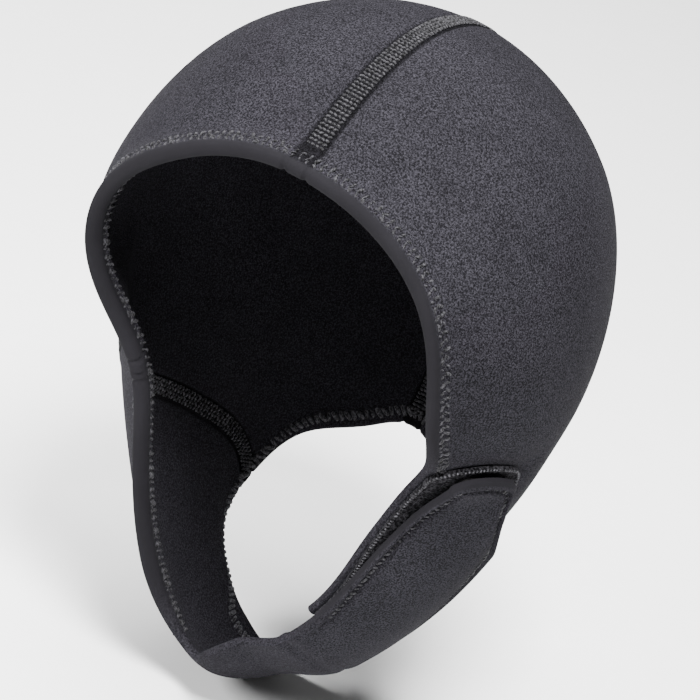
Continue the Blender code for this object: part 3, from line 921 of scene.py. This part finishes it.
def jaw_seam_path(down, inside):
    """Path beside the jaw seam from the face edge's stitch row to the neck edge."""
    s = seam_row_shares(panel_width(RIGHT, np.array(JAW_SEAM[0][1])))
    t = seam_place(s) + down / local_rate(RIGHT, seam_place(s), s, True)
    point, out = lifted(RIGHT, t, s, -WALL if inside else 0.0)
    return point, -out if inside else out


for label, path in (("crown_seam", crown_seam_path), ("jaw_seam", jaw_seam_path)):
    for face, inside in (("outer", False), ("inner", True)):
        for number, across in enumerate(FLATLOCK_COLUMNS):
            points, out = path(across, inside)
            stitch_row(f"{label}_{face}_{number}", points, out, overlock if inside else seam_thread,
                       "neoprene_right", Pitch=FLATLOCK_PITCH, Length=FLATLOCK_LENGTH,
                       Thread=FLATLOCK_THREAD, Arch=0.0002, Angle=0.3, Lean=0.0, Shake=0.12,
                       Seed=7 + number)


# Stitches round the tab in black thread that hold the hook tape, and the loop pad's overlocked edge.
# The tab's row lies in the groove that it presses in; the pad's row is sewn over the pad's cut edge.
TAB_PITCH = 0.0021
TAB_STITCH = 0.0019
TAB_THREAD = 0.0004
PAD_ROW_INSET = 0.0008
TAB_END_POINTS = 60
TAB_SIDE_POINTS = 70


def outline_path(low, inset, margin, front_inset, lift):
    """Path round the tab or a pad, from its low front corner over the end to the low back corner."""
    turn = np.linspace(0, math.pi, TAB_END_POINTS)
    tip = tab_end(TAB_TIP + (inset - margin) / panel_length(), TAB_END_ROUND + margin - inset, turn)
    up = np.linspace(low, tip[0], TAB_SIDE_POINTS)[:-1]
    down = np.linspace(tip[-1], low, TAB_SIDE_POINTS)[1:]
    t = np.concatenate([up, tip, down])
    v = np.concatenate([0 * up, 0.5 - 0.5 * np.cos(turn), 1 + 0 * down])
    front, back = tab_band(t)
    width = panel_width(LEFT, t)
    front = front + inset / width if front_inset is None else flap_band(t)[0] + front_inset / width
    back = back + (margin - inset) / width
    return lifted(LEFT, t, front + (back - front) * v, lift)


points, out = outline_path(LIFT_FULL, STITCH_FROM_EDGE, 0.0, None, TAB_LIFT - STITCH_GROOVE)
stitch_row("tab_stitches", points, out, thread, "neoprene_strap", Pitch=TAB_PITCH, Length=TAB_STITCH,
           Thread=TAB_THREAD, Arch=0.0003, Angle=0.35, Lean=0.5, Shake=0.6, Seed=11)
points, out = outline_path(LOOP_PAD_LOW, PAD_ROW_INSET, LOOP_PAD_MARGIN, LOOP_PAD_FRONT + PAD_ROW_INSET,
                           LOOP_LIFT + LOOP_PAD)
stitch_row("pad_overlock_0", points, out, overlock, "loop_pile", Pitch=0.0012, Length=0.0009,
           Thread=0.0003, Arch=0.0002, Angle=0.3, Lean=0.2, Shake=0.2, Seed=13)


# Plain white paper under the chin strap, dim white surroundings and three square soft lamps.
# The paper lies just clear of the strap.
FLOOR_HALF = 6
FLOOR_CLEARANCE = 0.0004
floor_z = cad_low.z - FLOOR_CLEARANCE
floor_corners = [(x * FLOOR_HALF, y * FLOOR_HALF, floor_z)
                 for x, y in ((-1, -1), (1, -1), (1, 1), (-1, 1))]
floor_mesh = bpy.data.meshes.new("floor")
floor_mesh.from_pydata(floor_corners, [], [(0, 1, 2, 3)])
floor = bpy.data.objects.new("floor", floor_mesh)
bpy.context.scene.collection.objects.link(floor)
paper = bpy.data.materials.new("floor_paper")
paper.use_nodes = True
paper_tree = paper.node_tree
paper_nodes = Nodes(paper_tree)
paper_place = paper_nodes.add("ShaderNodeTexCoord")
paper_grain = paper_nodes.add("ShaderNodeTexNoise", Vector=paper_place.outputs["Object"], Scale=60.0)
paper_mix = paper_nodes.add("ShaderNodeMix", {"data_type": "RGBA"}, n0=paper_grain.outputs["Fac"],
                            n6=(0.93, 0.93, 0.93, 1), n7=(0.96, 0.96, 0.96, 1))
paper_shader = paper_tree.nodes["Principled BSDF"]
paper_tree.links.new(paper_mix.outputs[2], paper_shader.inputs["Base Color"])
paper_shader.inputs["Roughness"].default_value = 0.9
floor_mesh.materials.append(paper)

world = bpy.data.worlds.new("studio")
world.use_nodes = True
world.node_tree.nodes["Background"].inputs["Color"].default_value = (1, 1, 1, 1)
world.node_tree.nodes["Background"].inputs["Strength"].default_value = 0.14
bpy.context.scene.world = world


def softbox(name, place, aim, size, power):
    """A square soft light at a place, turned to aim at a point."""
    light = bpy.data.lights.new(name, "AREA")
    light.shape = "SQUARE"
    light.size = size
    light.energy = power
    lamp = bpy.data.objects.new(name, light)
    bpy.context.scene.collection.objects.link(lamp)
    lamp.location = place
    lamp.rotation_mode = "QUATERNION"
    lamp.rotation_quaternion = (Vector(aim) - Vector(place)).to_track_quat("-Z", "Y")


softbox("top", place=(-0.20, 0.1, 1.1), aim=(0, 0, -0.1), size=0.9, power=38)
softbox("key", place=(0.30, -0.50, 0.95), aim=(0.03, -0.02, -0.03), size=0.35, power=62)
softbox("fill", place=(-0.6, -0.9, 0.4), aim=(0, 0.02, -0.12), size=0.5, power=26)


# Camera: the photograph's view, rolled because the hood is shown tipped over to its right.
# It looks at the middle of the form at ear height, which stands at the aim pixel of the picture.
CAMERA_AZIMUTH = math.radians(23.77)
CAMERA_ELEVATION = math.radians(24.55)
CAMERA_ROLL = math.radians(18.32)
CAMERA_DISTANCE = 1.093
PICTURE = 700
PIXELS_PER_METRE = 3290
AIM_PIXEL = (349.0, 296.8)
SENSOR_WIDTH = 36
back_way = Vector((math.sin(CAMERA_AZIMUTH) * math.cos(CAMERA_ELEVATION),
                   -math.cos(CAMERA_AZIMUTH) * math.cos(CAMERA_ELEVATION), math.sin(CAMERA_ELEVATION)))
level_right = Vector((math.cos(CAMERA_AZIMUTH), math.sin(CAMERA_AZIMUTH), 0))
level_up = back_way.cross(level_right)
right_way = level_right * math.cos(CAMERA_ROLL) + level_up * math.sin(CAMERA_ROLL)
up_way = level_up * math.cos(CAMERA_ROLL) - level_right * math.sin(CAMERA_ROLL)
camera = bpy.data.objects.new("camera", bpy.data.cameras.new("camera"))
bpy.context.scene.collection.objects.link(camera)
turn_to = Matrix((right_way, up_way, back_way)).transposed().to_4x4()
turn_to.translation = Vector((0, 0, WALL - CROWN_RISE)) + CAMERA_DISTANCE * back_way
camera.matrix_world = turn_to
camera.data.sensor_width = SENSOR_WIDTH
camera.data.lens = SENSOR_WIDTH * PIXELS_PER_METRE * CAMERA_DISTANCE / PICTURE
camera.data.shift_x = (PICTURE / 2 - AIM_PIXEL[0]) / PICTURE
camera.data.shift_y = (AIM_PIXEL[1] - PICTURE / 2) / PICTURE
bpy.context.scene.camera = camera
